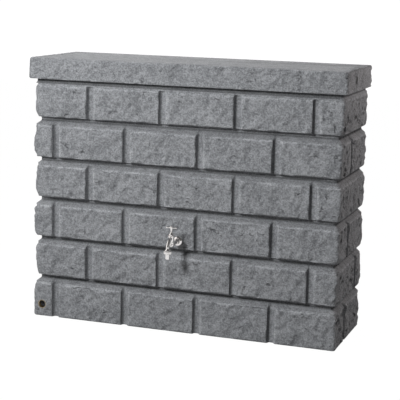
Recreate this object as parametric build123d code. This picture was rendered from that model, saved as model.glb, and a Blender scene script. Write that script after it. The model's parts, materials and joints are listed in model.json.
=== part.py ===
from build123d import *
import os

# Wall rain tank shaped like a stone wall, with a coping-slab lid, a bib tap and a drain plug.
# Millimetres. X runs along the wall, -Y is the front, +Z is up.
# The origin is on the ground under the middle of the 1200 x 400 lid.

# Tank body
HALF_LENGTH = 588.0
FRONT_Y = -185.0
BACK_Y = 200.0
WALL = 4.6
CORNER_RADIUS = 9.0
SHOULDER_Z = 890.0
SHOULDER_SLOPE = 10.0
COLLAR_INSET = 10.0
COLLAR_TOP_Z = 950.0
RIM_WIDTH = 28.0

# Brick courses
COURSE_HEIGHT = 150.0
COURSE_COUNT = 6
BRICK_LENGTH = 283.0
BRICKS_PER_COURSE = 4
FIRST_JOINT_X = (-497.0, -359.0)                    # bottom, third and fifth course; the others
END_JOINT_Y = {0: -40.0, 1: 104.0, 2: -40.0, 4: -40.0}
FRONT_BED_DEPTH = 30.0
END_BED_DEPTH = 25.0
BED_TOP = 12.0                                      # heights from the line between two courses
BED_FLOOR_TOP = 8.0
BED_FLOOR_BOTTOM = -5.0
BED_BOTTOM = -23.0
JOINT_DEPTH = 17.0
JOINT_HALF_MOUTH = 15.0
JOINT_HALF_FLOOR = 9.0
TOP_JOINT_END_Z = 878.0
OVERCUT = 12.0                                      # how far a groove's cutter stands out of the face

# Lid
LID_HALF_LENGTH = 600.0
LID_HALF_DEPTH = 200.0
LID_BOTTOM_Z = 902.0
LID_TOP_Z = 980.0
LID_WALL = 4.0
LID_RING_CLEARANCE = 3.0
LID_RING_BOTTOM_Z = 940.0
LID_RIB_X = (-480.0, -240.0, 0.0, 240.0, 480.0)
LID_RIB_Y = (-90.0, 100.0)

# Lid screws, one near each end
SCREW_X = 559.0
SCREW_Y = 7.0
SCREW_RADIUS = 3.0
SCREW_TIP_Z = 933.0
SCREW_HEAD_RADIUS = 6.0
SCREW_HEAD_HEIGHT = 5.0
SCREW_WASHER_THICKNESS = 1.0
COUNTERBORE_Z = 970.0
SCREW_INSERT_RADIUS = 4.5
SCREW_INSERT_Z = 930.0

# Bib tap: threaded inlet through the wall, valve over the belly, spout in front
TAP_X = -7.0
INLET_Z = 341.0
INLET_THREAD_RADIUS = 9.6
INLET_NECK_RADIUS = 7.5
INLET_BORE_RADIUS = 4.8
INSERT_BACK_Y = -158.0
TAP_INSERT_RADIUS = 13.0
BOSS_BACK_Y = -156.0
BOSS_WALL = 4.0
ROSETTE_RADIUS = 17.5
ROSETTE_FRONT_Y = -191.0
SPINDLE_Y = -250.0
BELLY_Y = -246.0
BELLY_RADIUS = 10.0
SEAT_Z = 357.0
SEAT_BORE_RADIUS = 3.8
BARREL_RADIUS = 11.5
BARREL_BOTTOM_Z = 353.0
BARREL_TOP_Z = 374.0
CHAMBER_RADIUS = 8.0
SPOUT_RADIUS = 6.2
SPOUT_BORE_RADIUS = 3.8
OUTLET_Y = -284.0
OUTLET_THREAD_RADIUS = 11.0
OUTLET_FACE_Z = 319.0
OUTLET_TOP_Z = 327.0

# Tap headwork
HEX_TOP_Z = 378.0
BONNET_TOP_Z = 384.0
BONNET_SKIRT_Z = 367.0
STEM_RADIUS = 2.6
COLLAR_RADIUS = 4.5
COLLAR_TOP_STEM_Z = 370.7
RUNNING_GAP = 0.06
STUFFING_RADIUS = 4.2
STUFFING_Z = 378.5
JUMPER_TOP_Z = 361.0
STEM_TOP_Z = 399.0
HUB_BOTTOM_Z = 391.0
HUB_TOP_Z = 407.0
HUB_RADIUS = 4.6
BAR_Z = 402.5
BAR_RADIUS = 3.0
BAR_LENGTH = 44.0

# Hose union
UNION_RADIUS = 14.0
UNION_BOTTOM_Z = 313.5
UNION_TOP_Z = 325.5
TAIL_RADIUS = 8.8
TAIL_NECK_RADIUS = 8.3
TAIL_SHOULDER_Z = 312.5
TAIL_BORE_RADIUS = 5.5
TAIL_TIP_Z = 295.0

# Drain port, low in the left-hand brick
DRAIN_X = -552.0
DRAIN_Z = 46.0
DRAIN_INSERT_RADIUS = 16.5
DRAIN_BORE_RADIUS = 13.2
DRAIN_SEAT_Y = -160.0
DRAIN_SEAT_RADIUS = 9.0
PLUG_RADIUS = 13.12
PLUG_FRONT_Y = -171.5
PLUG_SEAL_Y = -161.5

# Filler inlet, high in the left end
FILLER_Y = 80.0
FILLER_Z = 825.0
FILLER_BORE_RADIUS = 16.0
FILLER_NECK_RADIUS = 20.0
FILLER_FLANGE_RADIUS = 26.0
FILLER_FLANGE = 3.0


def block(x0, x1, y0, y1, z0, z1):
    """A box between six limits."""
    centre = Pos((x0 + x1) / 2, (y0 + y1) / 2, (z0 + z1) / 2)
    return centre * Box(x1 - x0, y1 - y0, z1 - z0)


def rod(radius, z0, z1, x=0.0, y=0.0):
    """A cylinder along Z."""
    return Pos(x, y, (z0 + z1) / 2) * Cylinder(radius, z1 - z0)


def rod_y(radius, y0, y1, x, z):
    """A cylinder along Y."""
    return Pos(x, (y0 + y1) / 2, z) * Rot(90, 0, 0) * Cylinder(radius, y1 - y0)


def rod_x(radius, x0, x1, y, z):
    """A cylinder along X."""
    return Pos((x0 + x1) / 2, y, z) * Rot(0, 90, 0) * Cylinder(radius, x1 - x0)


def hexagon(across_corners, z0, z1, x, y):
    """A hexagonal bar along Z."""
    face = Pos(x, y, z0) * RegularPolygon(across_corners / 2, 6)
    return extrude(face, z1 - z0)


def cone(r0, r1, z0, z1, x, y):
    """A cone frustum along Z, radius r0 at z0 and r1 at z1."""
    return Pos(x, y, (z0 + z1) / 2) * Cone(r0, r1, z1 - z0)


def body_form(inset):
    """The tank's outer form, or its hollow when inset by the wall, without the collar."""
    half = HALF_LENGTH - inset
    top = SHOULDER_Z - inset
    form = block(-half, half, FRONT_Y + inset, BACK_Y - inset, inset, top)
    form = chamfer(form.edges().group_by(Axis.Z)[-1], SHOULDER_SLOPE)
    return fillet(form.edges().filter_by(Axis.Z), CORNER_RADIUS - inset)


def bed_profile(depth, inset):
    """Bed-joint section as (depth from the face, height from the course line) pairs."""
    roof_rise = (BED_TOP - BED_FLOOR_TOP) / depth * OVERCUT
    sill_drop = (BED_FLOOR_BOTTOM - BED_BOTTOM) / depth * OVERCUT
    return (
        (-OVERCUT, BED_TOP + roof_rise + 1.2 * inset),
        (depth + inset, BED_FLOOR_TOP + inset),
        (depth + inset, BED_FLOOR_BOTTOM - 0.8 * inset),
        (-OVERCUT, BED_BOTTOM - sill_drop - 1.3 * inset),
    )


def bed_joints(inset):
    """The five horizontal grooves, round the front and both ends."""
    cutters = []
    for course in range(1, COURSE_COUNT):
        line_z = course * COURSE_HEIGHT
        front_section = bed_profile(FRONT_BED_DEPTH, inset)
        front = Polygon(*[(FRONT_Y + d, line_z + h) for d, h in front_section], align=None)
        cutters.append(extrude(Plane.YZ * front, HALF_LENGTH + OVERCUT, both=True))
        end_section = bed_profile(END_BED_DEPTH, inset)
        for side in (-1, 1):
            end = Polygon(
                *[(side * (HALF_LENGTH - d), line_z + h) for d, h in end_section],
                align=None,
            )
            start = Plane.XZ.offset(-BACK_Y - OVERCUT) * end
            cutters.append(extrude(start, BACK_Y - FRONT_Y + 2 * OVERCUT, dir=(0, -1, 0)))
    return cutters


def joint_profile(inset):
    """Upright-joint section as (offset along the wall, depth from the face) pairs."""
    flare = (JOINT_HALF_MOUTH - JOINT_HALF_FLOOR) / JOINT_DEPTH * OVERCUT
    mouth = JOINT_HALF_MOUTH + flare + 1.2 * inset
    floor = JOINT_HALF_FLOOR + inset
    return (
        (-mouth, -OVERCUT),
        (mouth, -OVERCUT),
        (floor, JOINT_DEPTH + inset),
        (-floor, JOINT_DEPTH + inset),
    )


def upright_joints(inset):
    """The vertical grooves between the bricks, on the front and both ends."""
    cutters = []
    for course in range(COURSE_COUNT):
        z0 = course * COURSE_HEIGHT if course else -OVERCUT
        z1 = min((course + 1) * COURSE_HEIGHT, TOP_JOINT_END_Z + inset)
        for brick in range(BRICKS_PER_COURSE):
            x = FIRST_JOINT_X[course % 2] + brick * BRICK_LENGTH
            front = Polygon(*[(x + s, FRONT_Y + d) for s, d in joint_profile(inset)], align=None)
            cutters.append(extrude(Pos(0, 0, z0) * front, z1 - z0, dir=(0, 0, 1)))
        if course not in END_JOINT_Y:
            continue
        for side in (-1, 1):
            y = END_JOINT_Y[course]
            points = [(side * (HALF_LENGTH - d), y + s) for s, d in joint_profile(inset)]
            end = Polygon(*points, align=None)
            cutters.append(extrude(Pos(0, 0, z0) * end, z1 - z0, dir=(0, 0, 1)))
    return cutters


def collar_form(inset, top):
    """The upright collar that the lid drops over."""
    half = HALF_LENGTH - COLLAR_INSET - inset
    y0 = FRONT_Y + COLLAR_INSET + inset
    y1 = BACK_Y - COLLAR_INSET - inset
    return block(-half, half, y0, y1, SHOULDER_Z - COLLAR_INSET - inset, top)


def mouth_limits():
    """Half length, front and back of the mouth inside the rim."""
    inset = COLLAR_INSET + WALL + RIM_WIDTH
    return HALF_LENGTH - inset, FRONT_Y + inset, BACK_Y - inset


def tank_shell():
    """The hollow moulding, one wall thickness all over, open at the mouth."""
    outer = body_form(0.0) - bed_joints(0.0) - upright_joints(0.0)
    outer += collar_form(0.0, COLLAR_TOP_Z)
    hollow = body_form(WALL) - bed_joints(WALL) - upright_joints(WALL)
    hollow += collar_form(WALL, COLLAR_TOP_Z - WALL)
    half, y0, y1 = mouth_limits()
    hollow += block(-half, half, y0, y1, COLLAR_TOP_Z - 2 * WALL, COLLAR_TOP_Z + WALL)
    shell = outer - hollow
    skin_y = FRONT_Y + WALL / 2
    shell += rod_y(TAP_INSERT_RADIUS + BOSS_WALL, skin_y, BOSS_BACK_Y, TAP_X, INLET_Z)
    shell += rod_y(DRAIN_INSERT_RADIUS + BOSS_WALL, skin_y, BOSS_BACK_Y, DRAIN_X, DRAIN_Z)
    shell -= rod_y(TAP_INSERT_RADIUS, FRONT_Y - WALL, INSERT_BACK_Y, TAP_X, INLET_Z)
    shell -= rod_y(INLET_THREAD_RADIUS, INSERT_BACK_Y, BOSS_BACK_Y + WALL, TAP_X, INLET_Z)
    shell -= rod_y(DRAIN_INSERT_RADIUS, FRONT_Y - WALL, BOSS_BACK_Y + WALL, DRAIN_X, DRAIN_Z)
    for side in (-1, 1):
        shell += rod(2 * SCREW_INSERT_RADIUS, SCREW_INSERT_Z - WALL, COLLAR_TOP_Z - WALL / 2,
                     side * SCREW_X, SCREW_Y)
        shell -= rod(SCREW_INSERT_RADIUS, SCREW_INSERT_Z, COLLAR_TOP_Z + WALL, side * SCREW_X, SCREW_Y)
    shell -= rod_x(FILLER_NECK_RADIUS, -HALF_LENGTH - WALL, -HALF_LENGTH + 2 * WALL, FILLER_Y, FILLER_Z)
    return shell


def filler_grommet():
    """Rubber grommet in the left end, for a pipe from the roof."""
    outer_face = -HALF_LENGTH
    inner_face = -HALF_LENGTH + WALL
    ring = rod_x(FILLER_NECK_RADIUS, outer_face, inner_face, FILLER_Y, FILLER_Z)
    ring += rod_x(FILLER_FLANGE_RADIUS, outer_face - FILLER_FLANGE, outer_face, FILLER_Y, FILLER_Z)
    ring += rod_x(FILLER_FLANGE_RADIUS - 2.0, inner_face, inner_face + FILLER_FLANGE, FILLER_Y, FILLER_Z)
    return ring - rod_x(FILLER_BORE_RADIUS, -HALF_LENGTH - 3 * WALL, -HALF_LENGTH + 3 * WALL,
                        FILLER_Y, FILLER_Z)


def lid_shell():
    """The coping slab: a downward cup with a locating ring, ribs and two screw bosses."""
    slab = block(-LID_HALF_LENGTH, LID_HALF_LENGTH, -LID_HALF_DEPTH, LID_HALF_DEPTH,
                 LID_BOTTOM_Z, LID_TOP_Z)
    slab = fillet(slab.edges().filter_by(Axis.Z), CORNER_RADIUS)
    slab = chamfer(slab.edges().group_by(Axis.Z)[-1], 4.0)
    skirt_x = LID_HALF_LENGTH - LID_WALL
    skirt_y = LID_HALF_DEPTH - LID_WALL
    underside_z = LID_TOP_Z - LID_WALL
    slab -= block(-skirt_x, skirt_x, -skirt_y, skirt_y, LID_BOTTOM_Z - WALL, underside_z)
    half, y0, y1 = mouth_limits()
    ring_x = half - LID_RING_CLEARANCE
    ring_y0 = y0 + LID_RING_CLEARANCE
    ring_y1 = y1 - LID_RING_CLEARANCE
    root_z = underside_z + LID_WALL / 2
    ring = block(-ring_x, ring_x, ring_y0, ring_y1, LID_RING_BOTTOM_Z, root_z)
    ring -= block(-ring_x + LID_WALL, ring_x - LID_WALL, ring_y0 + LID_WALL, ring_y1 - LID_WALL,
                  LID_RING_BOTTOM_Z - WALL, underside_z)
    slab += ring
    for x in LID_RIB_X:
        slab += block(x - 2.0, x + 2.0, -skirt_y - 1.0, ring_y0 + 1.0, COLLAR_TOP_Z, root_z)
        slab += block(x - 2.0, x + 2.0, ring_y1 - 1.0, skirt_y + 1.0, COLLAR_TOP_Z, root_z)
    for side in (-1, 1):
        for y in LID_RIB_Y:
            x0, x1 = sorted((side * (ring_x - 1.0), side * (skirt_x + 1.0)))
            slab += block(x0, x1, y - 2.0, y + 2.0, COLLAR_TOP_Z, root_z)
        slab += rod(SCREW_HEAD_RADIUS + 4.0, COLLAR_TOP_Z, root_z, side * SCREW_X, SCREW_Y)
        slab -= rod(SCREW_HEAD_RADIUS + 1.0, COUNTERBORE_Z, LID_TOP_Z + WALL, side * SCREW_X, SCREW_Y)
        slab -= rod(SCREW_RADIUS + 0.4, COLLAR_TOP_Z - WALL, COUNTERBORE_Z + 1.0,
                    side * SCREW_X, SCREW_Y)
    return slab


def at_screws(make):
    """One solid at each lid screw, grouped."""
    return Compound(children=[make(side * SCREW_X) for side in (-1, 1)])


def lid_screw(x):
    """Socket-head lid screw."""
    seat_z = COUNTERBORE_Z + SCREW_WASHER_THICKNESS
    screw = rod(SCREW_RADIUS, SCREW_TIP_Z, seat_z, x, SCREW_Y)
    screw += rod(SCREW_HEAD_RADIUS, seat_z, seat_z + SCREW_HEAD_HEIGHT, x, SCREW_Y)
    return screw - hexagon(6.0, seat_z + 1.5, seat_z + SCREW_HEAD_HEIGHT + 1.0, x, SCREW_Y)


def lid_screw_washer(x):
    """Sealing washer that also keeps the screw in the lid."""
    washer = rod(SCREW_HEAD_RADIUS + 0.6, COUNTERBORE_Z, COUNTERBORE_Z + SCREW_WASHER_THICKNESS,
                 x, SCREW_Y)
    return washer - rod(SCREW_RADIUS, COUNTERBORE_Z - 1.0, COUNTERBORE_Z + 3.0, x, SCREW_Y)


def lid_screw_insert(x):
    """Brass threaded insert under the rim."""
    insert = rod(SCREW_INSERT_RADIUS, SCREW_INSERT_Z, COLLAR_TOP_Z, x, SCREW_Y)
    return insert - rod(SCREW_RADIUS + 0.1, SCREW_INSERT_Z + 1.5, COLLAR_TOP_Z + 1.0, x, SCREW_Y)


def tap_insert():
    """Brass bush moulded into the wall behind the tap."""
    bush = rod_y(TAP_INSERT_RADIUS, FRONT_Y, INSERT_BACK_Y, TAP_X, INLET_Z)
    return bush - rod_y(INLET_THREAD_RADIUS, FRONT_Y - 1.0, INSERT_BACK_Y + 1.0, TAP_X, INLET_Z)


def tap_rosette():
    """Domed cover plate round the tap's inlet."""
    rim_y = FRONT_Y - 2.0
    plate = rod_y(ROSETTE_RADIUS, rim_y, FRONT_Y, TAP_X, INLET_Z)
    dome = Cone(ROSETTE_RADIUS, INLET_THREAD_RADIUS + 2.0, rim_y - ROSETTE_FRONT_Y)
    plate += Pos(TAP_X, (rim_y + ROSETTE_FRONT_Y) / 2, INLET_Z) * Rot(90, 0, 0) * dome
    plate -= rod_y(INLET_THREAD_RADIUS, ROSETTE_FRONT_Y - 1.0, FRONT_Y + 1.0, TAP_X, INLET_Z)
    return plate - rod_y(INLET_THREAD_RADIUS + 3.6, rim_y, FRONT_Y + 1.0, TAP_X, INLET_Z)


def tap_seal_washer():
    """Flat rubber washer under the rosette."""
    washer = rod_y(INLET_THREAD_RADIUS + 3.6, FRONT_Y - 2.0, FRONT_Y, TAP_X, INLET_Z)
    return washer - rod_y(INLET_THREAD_RADIUS, FRONT_Y - 3.0, FRONT_Y + 1.0, TAP_X, INLET_Z)


def spout_tube(radius, end_z):
    """A round bar along the spout's centre line, from the valve chamber forward and down."""
    points = [
        (TAP_X, SPINDLE_Y, 364.0),
        (TAP_X, SPINDLE_Y - 19.0, 361.0),
        (TAP_X, OUTLET_Y, 341.0),
        (TAP_X, OUTLET_Y, end_z),
    ]
    path = FilletPolyline(*points, radius=12.0)
    section = Plane(origin=path @ 0, z_dir=path % 0) * Circle(radius)
    return sweep(section, path=path)


def tap_body():
    """The valve casting: threaded inlet, belly, barrel and spout, bored right through."""
    casting = rod_y(INLET_THREAD_RADIUS, ROSETTE_FRONT_Y, -163.0, TAP_X, INLET_Z)
    casting += rod_y(INLET_NECK_RADIUS, BELLY_Y, ROSETTE_FRONT_Y, TAP_X, INLET_Z)
    casting += Pos(TAP_X, BELLY_Y, INLET_Z) * Sphere(BELLY_RADIUS)
    casting += rod(BELLY_RADIUS, INLET_Z, BARREL_BOTTOM_Z + 6.0, TAP_X, BELLY_Y)
    casting += rod(BARREL_RADIUS, BARREL_BOTTOM_Z, BARREL_TOP_Z, TAP_X, SPINDLE_Y)
    casting += spout_tube(SPOUT_RADIUS, OUTLET_TOP_Z - 2.0)
    casting += cone(OUTLET_THREAD_RADIUS, SPOUT_RADIUS - 0.6, OUTLET_TOP_Z, OUTLET_TOP_Z + 6.0,
                    TAP_X, OUTLET_Y)
    casting += rod(OUTLET_THREAD_RADIUS, OUTLET_FACE_Z, OUTLET_TOP_Z, TAP_X, OUTLET_Y)
    casting -= rod_y(INLET_BORE_RADIUS, BELLY_Y, -162.0, TAP_X, INLET_Z)
    casting -= rod(SEAT_BORE_RADIUS, INLET_Z - 2.0, SEAT_Z + 1.0, TAP_X, SPINDLE_Y)
    casting -= rod(CHAMBER_RADIUS, SEAT_Z, BARREL_TOP_Z + 1.0, TAP_X, SPINDLE_Y)
    return casting - spout_tube(SPOUT_BORE_RADIUS, OUTLET_FACE_Z - 1.0)


def bonnet_gasket():
    """Fibre ring between the barrel and the headwork."""
    ring = rod(BARREL_RADIUS - 0.5, BARREL_TOP_Z, BARREL_TOP_Z + 0.8, TAP_X, SPINDLE_Y)
    return ring - rod(CHAMBER_RADIUS, BARREL_TOP_Z - 1.0, BARREL_TOP_Z + 2.0, TAP_X, SPINDLE_Y)


def tap_bonnet():
    """Headwork: threaded skirt, hexagon, and cone with the stuffing box."""
    hex_z = BARREL_TOP_Z + 0.8
    bonnet = rod(CHAMBER_RADIUS, BONNET_SKIRT_Z, hex_z, TAP_X, SPINDLE_Y)
    bonnet += hexagon(22.0, hex_z, HEX_TOP_Z, TAP_X, SPINDLE_Y)
    bonnet += cone(9.2, 5.6, HEX_TOP_Z, BONNET_TOP_Z, TAP_X, SPINDLE_Y)
    lift_room_z = STUFFING_Z - 1.5
    bonnet -= rod(COLLAR_RADIUS + RUNNING_GAP, BONNET_SKIRT_Z - 1.0, lift_room_z, TAP_X, SPINDLE_Y)
    bonnet -= rod(STEM_RADIUS + RUNNING_GAP, lift_room_z - 1.0, BONNET_TOP_Z + 1.0, TAP_X, SPINDLE_Y)
    return bonnet - rod(STUFFING_RADIUS, STUFFING_Z, BONNET_TOP_Z + 1.0, TAP_X, SPINDLE_Y)


def gland_packing():
    """Packing ring round the stem."""
    ring = rod(STUFFING_RADIUS, STUFFING_Z, STUFFING_Z + 3.0, TAP_X, SPINDLE_Y)
    return ring - rod(STEM_RADIUS + RUNNING_GAP, STUFFING_Z - 1.0, BONNET_TOP_Z, TAP_X, SPINDLE_Y)


def gland_nut():
    """Small nut that squeezes the packing."""
    nut = rod(STUFFING_RADIUS, STUFFING_Z + 3.0, BONNET_TOP_Z, TAP_X, SPINDLE_Y)
    nut += cone(4.9, 3.9, BONNET_TOP_Z, BONNET_TOP_Z + 4.0, TAP_X, SPINDLE_Y)
    return nut - rod(STEM_RADIUS + RUNNING_GAP, STUFFING_Z, BONNET_TOP_Z + 5.0, TAP_X, SPINDLE_Y)


def tap_spindle():
    """Stem with its threaded collar, which climbs in the bonnet as it turns."""
    stem = rod(COLLAR_RADIUS, JUMPER_TOP_Z, COLLAR_TOP_STEM_Z, TAP_X, SPINDLE_Y)
    stem += rod(STEM_RADIUS, COLLAR_TOP_STEM_Z, STEM_TOP_Z, TAP_X, SPINDLE_Y)
    return stem - rod(2.0, JUMPER_TOP_Z - 1.0, JUMPER_TOP_Z + 7.0, TAP_X, SPINDLE_Y)


def handle_hub():
    """Turned hub on the stem, cross-drilled for the bar."""
    hub = rod(HUB_RADIUS, STEM_TOP_Z, HUB_TOP_Z, TAP_X, SPINDLE_Y)
    hub += cone(HUB_RADIUS - 1.2, HUB_RADIUS, HUB_BOTTOM_Z, STEM_TOP_Z, TAP_X, SPINDLE_Y)
    hub -= rod(STEM_RADIUS, HUB_BOTTOM_Z - 1.0, STEM_TOP_Z, TAP_X, SPINDLE_Y)
    return hub - rod_x(BAR_RADIUS, TAP_X - BAR_LENGTH, TAP_X + BAR_LENGTH, SPINDLE_Y, BAR_Z)


def tee_bar():
    """Cross bar through the hub, with domed ends."""
    reach = BAR_LENGTH / 2 - BAR_RADIUS
    bar = rod_x(BAR_RADIUS, TAP_X - reach, TAP_X + reach, SPINDLE_Y, BAR_Z)
    for side in (-1, 1):
        bar += Pos(TAP_X + side * reach, SPINDLE_Y, BAR_Z) * Sphere(BAR_RADIUS)
    return bar


def handle_screw():
    """Domed cap screw on top of the hub."""
    cap = Pos(TAP_X, SPINDLE_Y, HUB_TOP_Z) * Sphere(3.4)
    keep = block(TAP_X - 5.0, TAP_X + 5.0, SPINDLE_Y - 5.0, SPINDLE_Y + 5.0, HUB_TOP_Z, HUB_TOP_Z + 5.0)
    return cap & keep


def jumper_valve():
    """Loose valve disc and pin that the spindle presses on its seat."""
    jumper = rod(6.4, JUMPER_TOP_Z - 2.0, JUMPER_TOP_Z, TAP_X, SPINDLE_Y)
    jumper += rod(1.9, JUMPER_TOP_Z, JUMPER_TOP_Z + 6.0, TAP_X, SPINDLE_Y)
    return jumper + rod(1.2, SEAT_Z - 3.0, JUMPER_TOP_Z - 2.0, TAP_X, SPINDLE_Y)


def valve_washer():
    """Rubber washer that closes the seat."""
    washer = rod(6.0, SEAT_Z, JUMPER_TOP_Z - 2.0, TAP_X, SPINDLE_Y)
    return washer - rod(1.2, SEAT_Z - 1.0, JUMPER_TOP_Z, TAP_X, SPINDLE_Y)


def washer_nut():
    """Nut that holds the washer on the valve disc."""
    nut = hexagon(5.4, SEAT_Z - 2.4, SEAT_Z, TAP_X, SPINDLE_Y)
    return nut - rod(1.2, SEAT_Z - 4.0, SEAT_Z + 1.0, TAP_X, SPINDLE_Y)


def hose_union_nut():
    """Ring nut that holds the hose tail on the outlet."""
    nut = rod(UNION_RADIUS, UNION_BOTTOM_Z, UNION_TOP_Z, TAP_X, OUTLET_Y)
    nut = chamfer(nut.edges().filter_by(GeomType.CIRCLE), 1.5)
    lip_z = UNION_BOTTOM_Z + 2.0
    nut -= rod(TAIL_NECK_RADIUS, UNION_BOTTOM_Z - 1.0, lip_z + 1.0, TAP_X, OUTLET_Y)
    return nut - rod(OUTLET_THREAD_RADIUS, lip_z, UNION_TOP_Z + 1.0, TAP_X, OUTLET_Y)


def hose_tail():
    """Straight hose tail with a seating flange."""
    lip_z = UNION_BOTTOM_Z + 2.0
    tail = rod(TAIL_RADIUS, TAIL_TIP_Z, TAIL_SHOULDER_Z, TAP_X, OUTLET_Y)
    tail = chamfer(tail.edges().group_by(Axis.Z)[0], 1.0)
    tail += rod(TAIL_NECK_RADIUS, TAIL_SHOULDER_Z, lip_z, TAP_X, OUTLET_Y)
    tail += rod(OUTLET_THREAD_RADIUS - 0.2, lip_z, lip_z + 2.0, TAP_X, OUTLET_Y)
    return tail - rod(TAIL_BORE_RADIUS, TAIL_TIP_Z - 1.0, lip_z + 3.0, TAP_X, OUTLET_Y)


def hose_tail_washer():
    """Rubber washer between the hose tail and the outlet."""
    z0 = UNION_BOTTOM_Z + 4.0
    washer = rod(OUTLET_THREAD_RADIUS - 0.2, z0, OUTLET_FACE_Z, TAP_X, OUTLET_Y)
    return washer - rod(TAIL_BORE_RADIUS, z0 - 1.0, OUTLET_FACE_Z + 1.0, TAP_X, OUTLET_Y)


def drain_insert():
    """Brass bush moulded into the wall, with a seat at its inner end."""
    bush = rod_y(DRAIN_INSERT_RADIUS, FRONT_Y, BOSS_BACK_Y, DRAIN_X, DRAIN_Z)
    bush -= rod_y(DRAIN_BORE_RADIUS, FRONT_Y - 1.0, DRAIN_SEAT_Y, DRAIN_X, DRAIN_Z)
    return bush - rod_y(DRAIN_SEAT_RADIUS, DRAIN_SEAT_Y - 1.0, BOSS_BACK_Y + 1.0, DRAIN_X, DRAIN_Z)


def drain_plug():
    """Socket plug screwed deep into the drain bush."""
    plug = rod_y(PLUG_RADIUS, PLUG_FRONT_Y, PLUG_SEAL_Y, DRAIN_X, DRAIN_Z)
    socket = Plane.XZ.offset(-PLUG_FRONT_Y - 6.5) * Pos(DRAIN_X, DRAIN_Z) * RegularPolygon(6.0, 6)
    return plug - extrude(socket, 8.0)


def drain_plug_seal():
    """Rubber ring between the plug and its seat."""
    ring = rod_y(PLUG_RADIUS - 0.3, PLUG_SEAL_Y, DRAIN_SEAT_Y, DRAIN_X, DRAIN_Z)
    return ring - rod_y(DRAIN_SEAT_RADIUS, PLUG_SEAL_Y - 1.0, DRAIN_SEAT_Y + 1.0, DRAIN_X, DRAIN_Z)


NODES = {
    "tank_shell": tank_shell,
    "filler_grommet": filler_grommet,
    "lid_shell": lid_shell,
    "lid_screws": lambda: at_screws(lid_screw),
    "lid_screw_washers": lambda: at_screws(lid_screw_washer),
    "lid_screw_inserts": lambda: at_screws(lid_screw_insert),
    "tap_insert": tap_insert,
    "tap_rosette": tap_rosette,
    "tap_seal_washer": tap_seal_washer,
    "tap_body": tap_body,
    "bonnet_gasket": bonnet_gasket,
    "tap_bonnet": tap_bonnet,
    "gland_packing": gland_packing,
    "gland_nut": gland_nut,
    "tap_spindle": tap_spindle,
    "handle_hub": handle_hub,
    "tee_bar": tee_bar,
    "handle_screw": handle_screw,
    "jumper_valve": jumper_valve,
    "valve_washer": valve_washer,
    "washer_nut": washer_nut,
    "hose_union_nut": hose_union_nut,
    "hose_tail": hose_tail,
    "hose_tail_washer": hose_tail_washer,
    "drain_insert": drain_insert,
    "drain_plug": drain_plug,
    "drain_plug_seal": drain_plug_seal,
}

os.makedirs("parts", exist_ok=True)
for name, make_node in NODES.items():
    export_step(make_node(), f"parts/{name}.step")
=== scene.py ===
import json
import math

import bmesh
import bpy
import numpy as np
from mathutils import Matrix, Vector


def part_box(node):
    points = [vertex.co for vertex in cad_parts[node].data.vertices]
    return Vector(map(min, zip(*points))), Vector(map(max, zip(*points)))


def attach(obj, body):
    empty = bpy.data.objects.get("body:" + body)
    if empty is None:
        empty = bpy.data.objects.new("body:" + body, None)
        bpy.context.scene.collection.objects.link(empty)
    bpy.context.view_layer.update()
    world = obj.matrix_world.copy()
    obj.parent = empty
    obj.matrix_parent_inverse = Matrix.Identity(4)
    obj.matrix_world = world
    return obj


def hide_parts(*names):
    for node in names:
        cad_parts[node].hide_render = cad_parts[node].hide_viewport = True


# A wall rain tank moulded like a split-stone wall, its coping lid, bib tap and drain port.
# Shapes are worked out in millimetres, in the frame's own axes, and become metres in new_object.

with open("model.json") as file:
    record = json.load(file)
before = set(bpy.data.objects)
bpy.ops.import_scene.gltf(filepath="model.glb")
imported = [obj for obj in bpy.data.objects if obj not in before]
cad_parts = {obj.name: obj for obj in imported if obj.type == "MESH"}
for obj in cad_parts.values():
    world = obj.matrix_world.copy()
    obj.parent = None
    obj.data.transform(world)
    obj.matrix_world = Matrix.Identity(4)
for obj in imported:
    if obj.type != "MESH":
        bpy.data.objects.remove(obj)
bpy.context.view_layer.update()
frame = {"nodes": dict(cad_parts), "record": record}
nodes = frame["nodes"]
MM = 0.001


def limits(node):
    """Lowest and highest corner of a node, in millimetres."""
    low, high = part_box(node)
    return np.array(low) / MM, np.array(high) / MM


def middle(node):
    """The middle of a node's box, in millimetres."""
    low, high = limits(node)
    return (low + high) / 2


# Tank wall
TANK_LOW, TANK_HIGH = limits("tank_shell")
TANK_HALF = TANK_HIGH[0]
TANK_FRONT = TANK_LOW[1]
TANK_BACK = TANK_HIGH[1]
RIM_Z = TANK_HIGH[2]
CORNER_RADIUS = 9.0
SHOULDER_Z = 875.0
COLLAR_INSET = 10.0
RIM_WIDTH = 32.6
TANK_WALL = 12.0
FOOT_EASE = 4.0

# Courses of bricks
COURSE_HEIGHT = 150.0
COURSE_COUNT = 6
BRICK_LENGTH = 283.0
BRICKS_PER_COURSE = 4
FIRST_JOINT_X = (-497.0, -359.0)
END_JOINT_Y = {0: -40.0, 1: 104.0, 2: -40.0, 4: -40.0}
FRONT_BED_DEPTH = 30.0
BED_DEPTH = 25.0
BED_TOP = 12.0
BED_FLOOR_TOP = 8.0
BED_FLOOR_BOTTOM = -5.0
BED_BOTTOM = -23.0
JOINT_DEPTH = 17.0
JOINT_HALF_MOUTH = 15.0
LEFT_SWELL = 5.5
RIGHT_SWELL = 2.3
JOINT_TOP_Z = 880.0
RIGHT_MARGIN = 8.0
LEFT_MARGIN = 2.5
STONE_LEVEL = 2.5
END_LIFT = 5.0

# How far apart mesh lines run: up the faces, up the joints, along the sides and along the back
FACE_STEP = 5.9
JOINT_STEP = 3.4
SIDE_STEP = 4.7
BACK_STEP = 60.0
INNER_FACE_STEP = 30.0
INNER_JOINT_STEP = 9.0
INNER_SIDE_STEP = 11.0
LID_STEP = 4.4
LID_EDGE_STEP = 4.0
LID_BACK_STEP = 9.0

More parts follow.
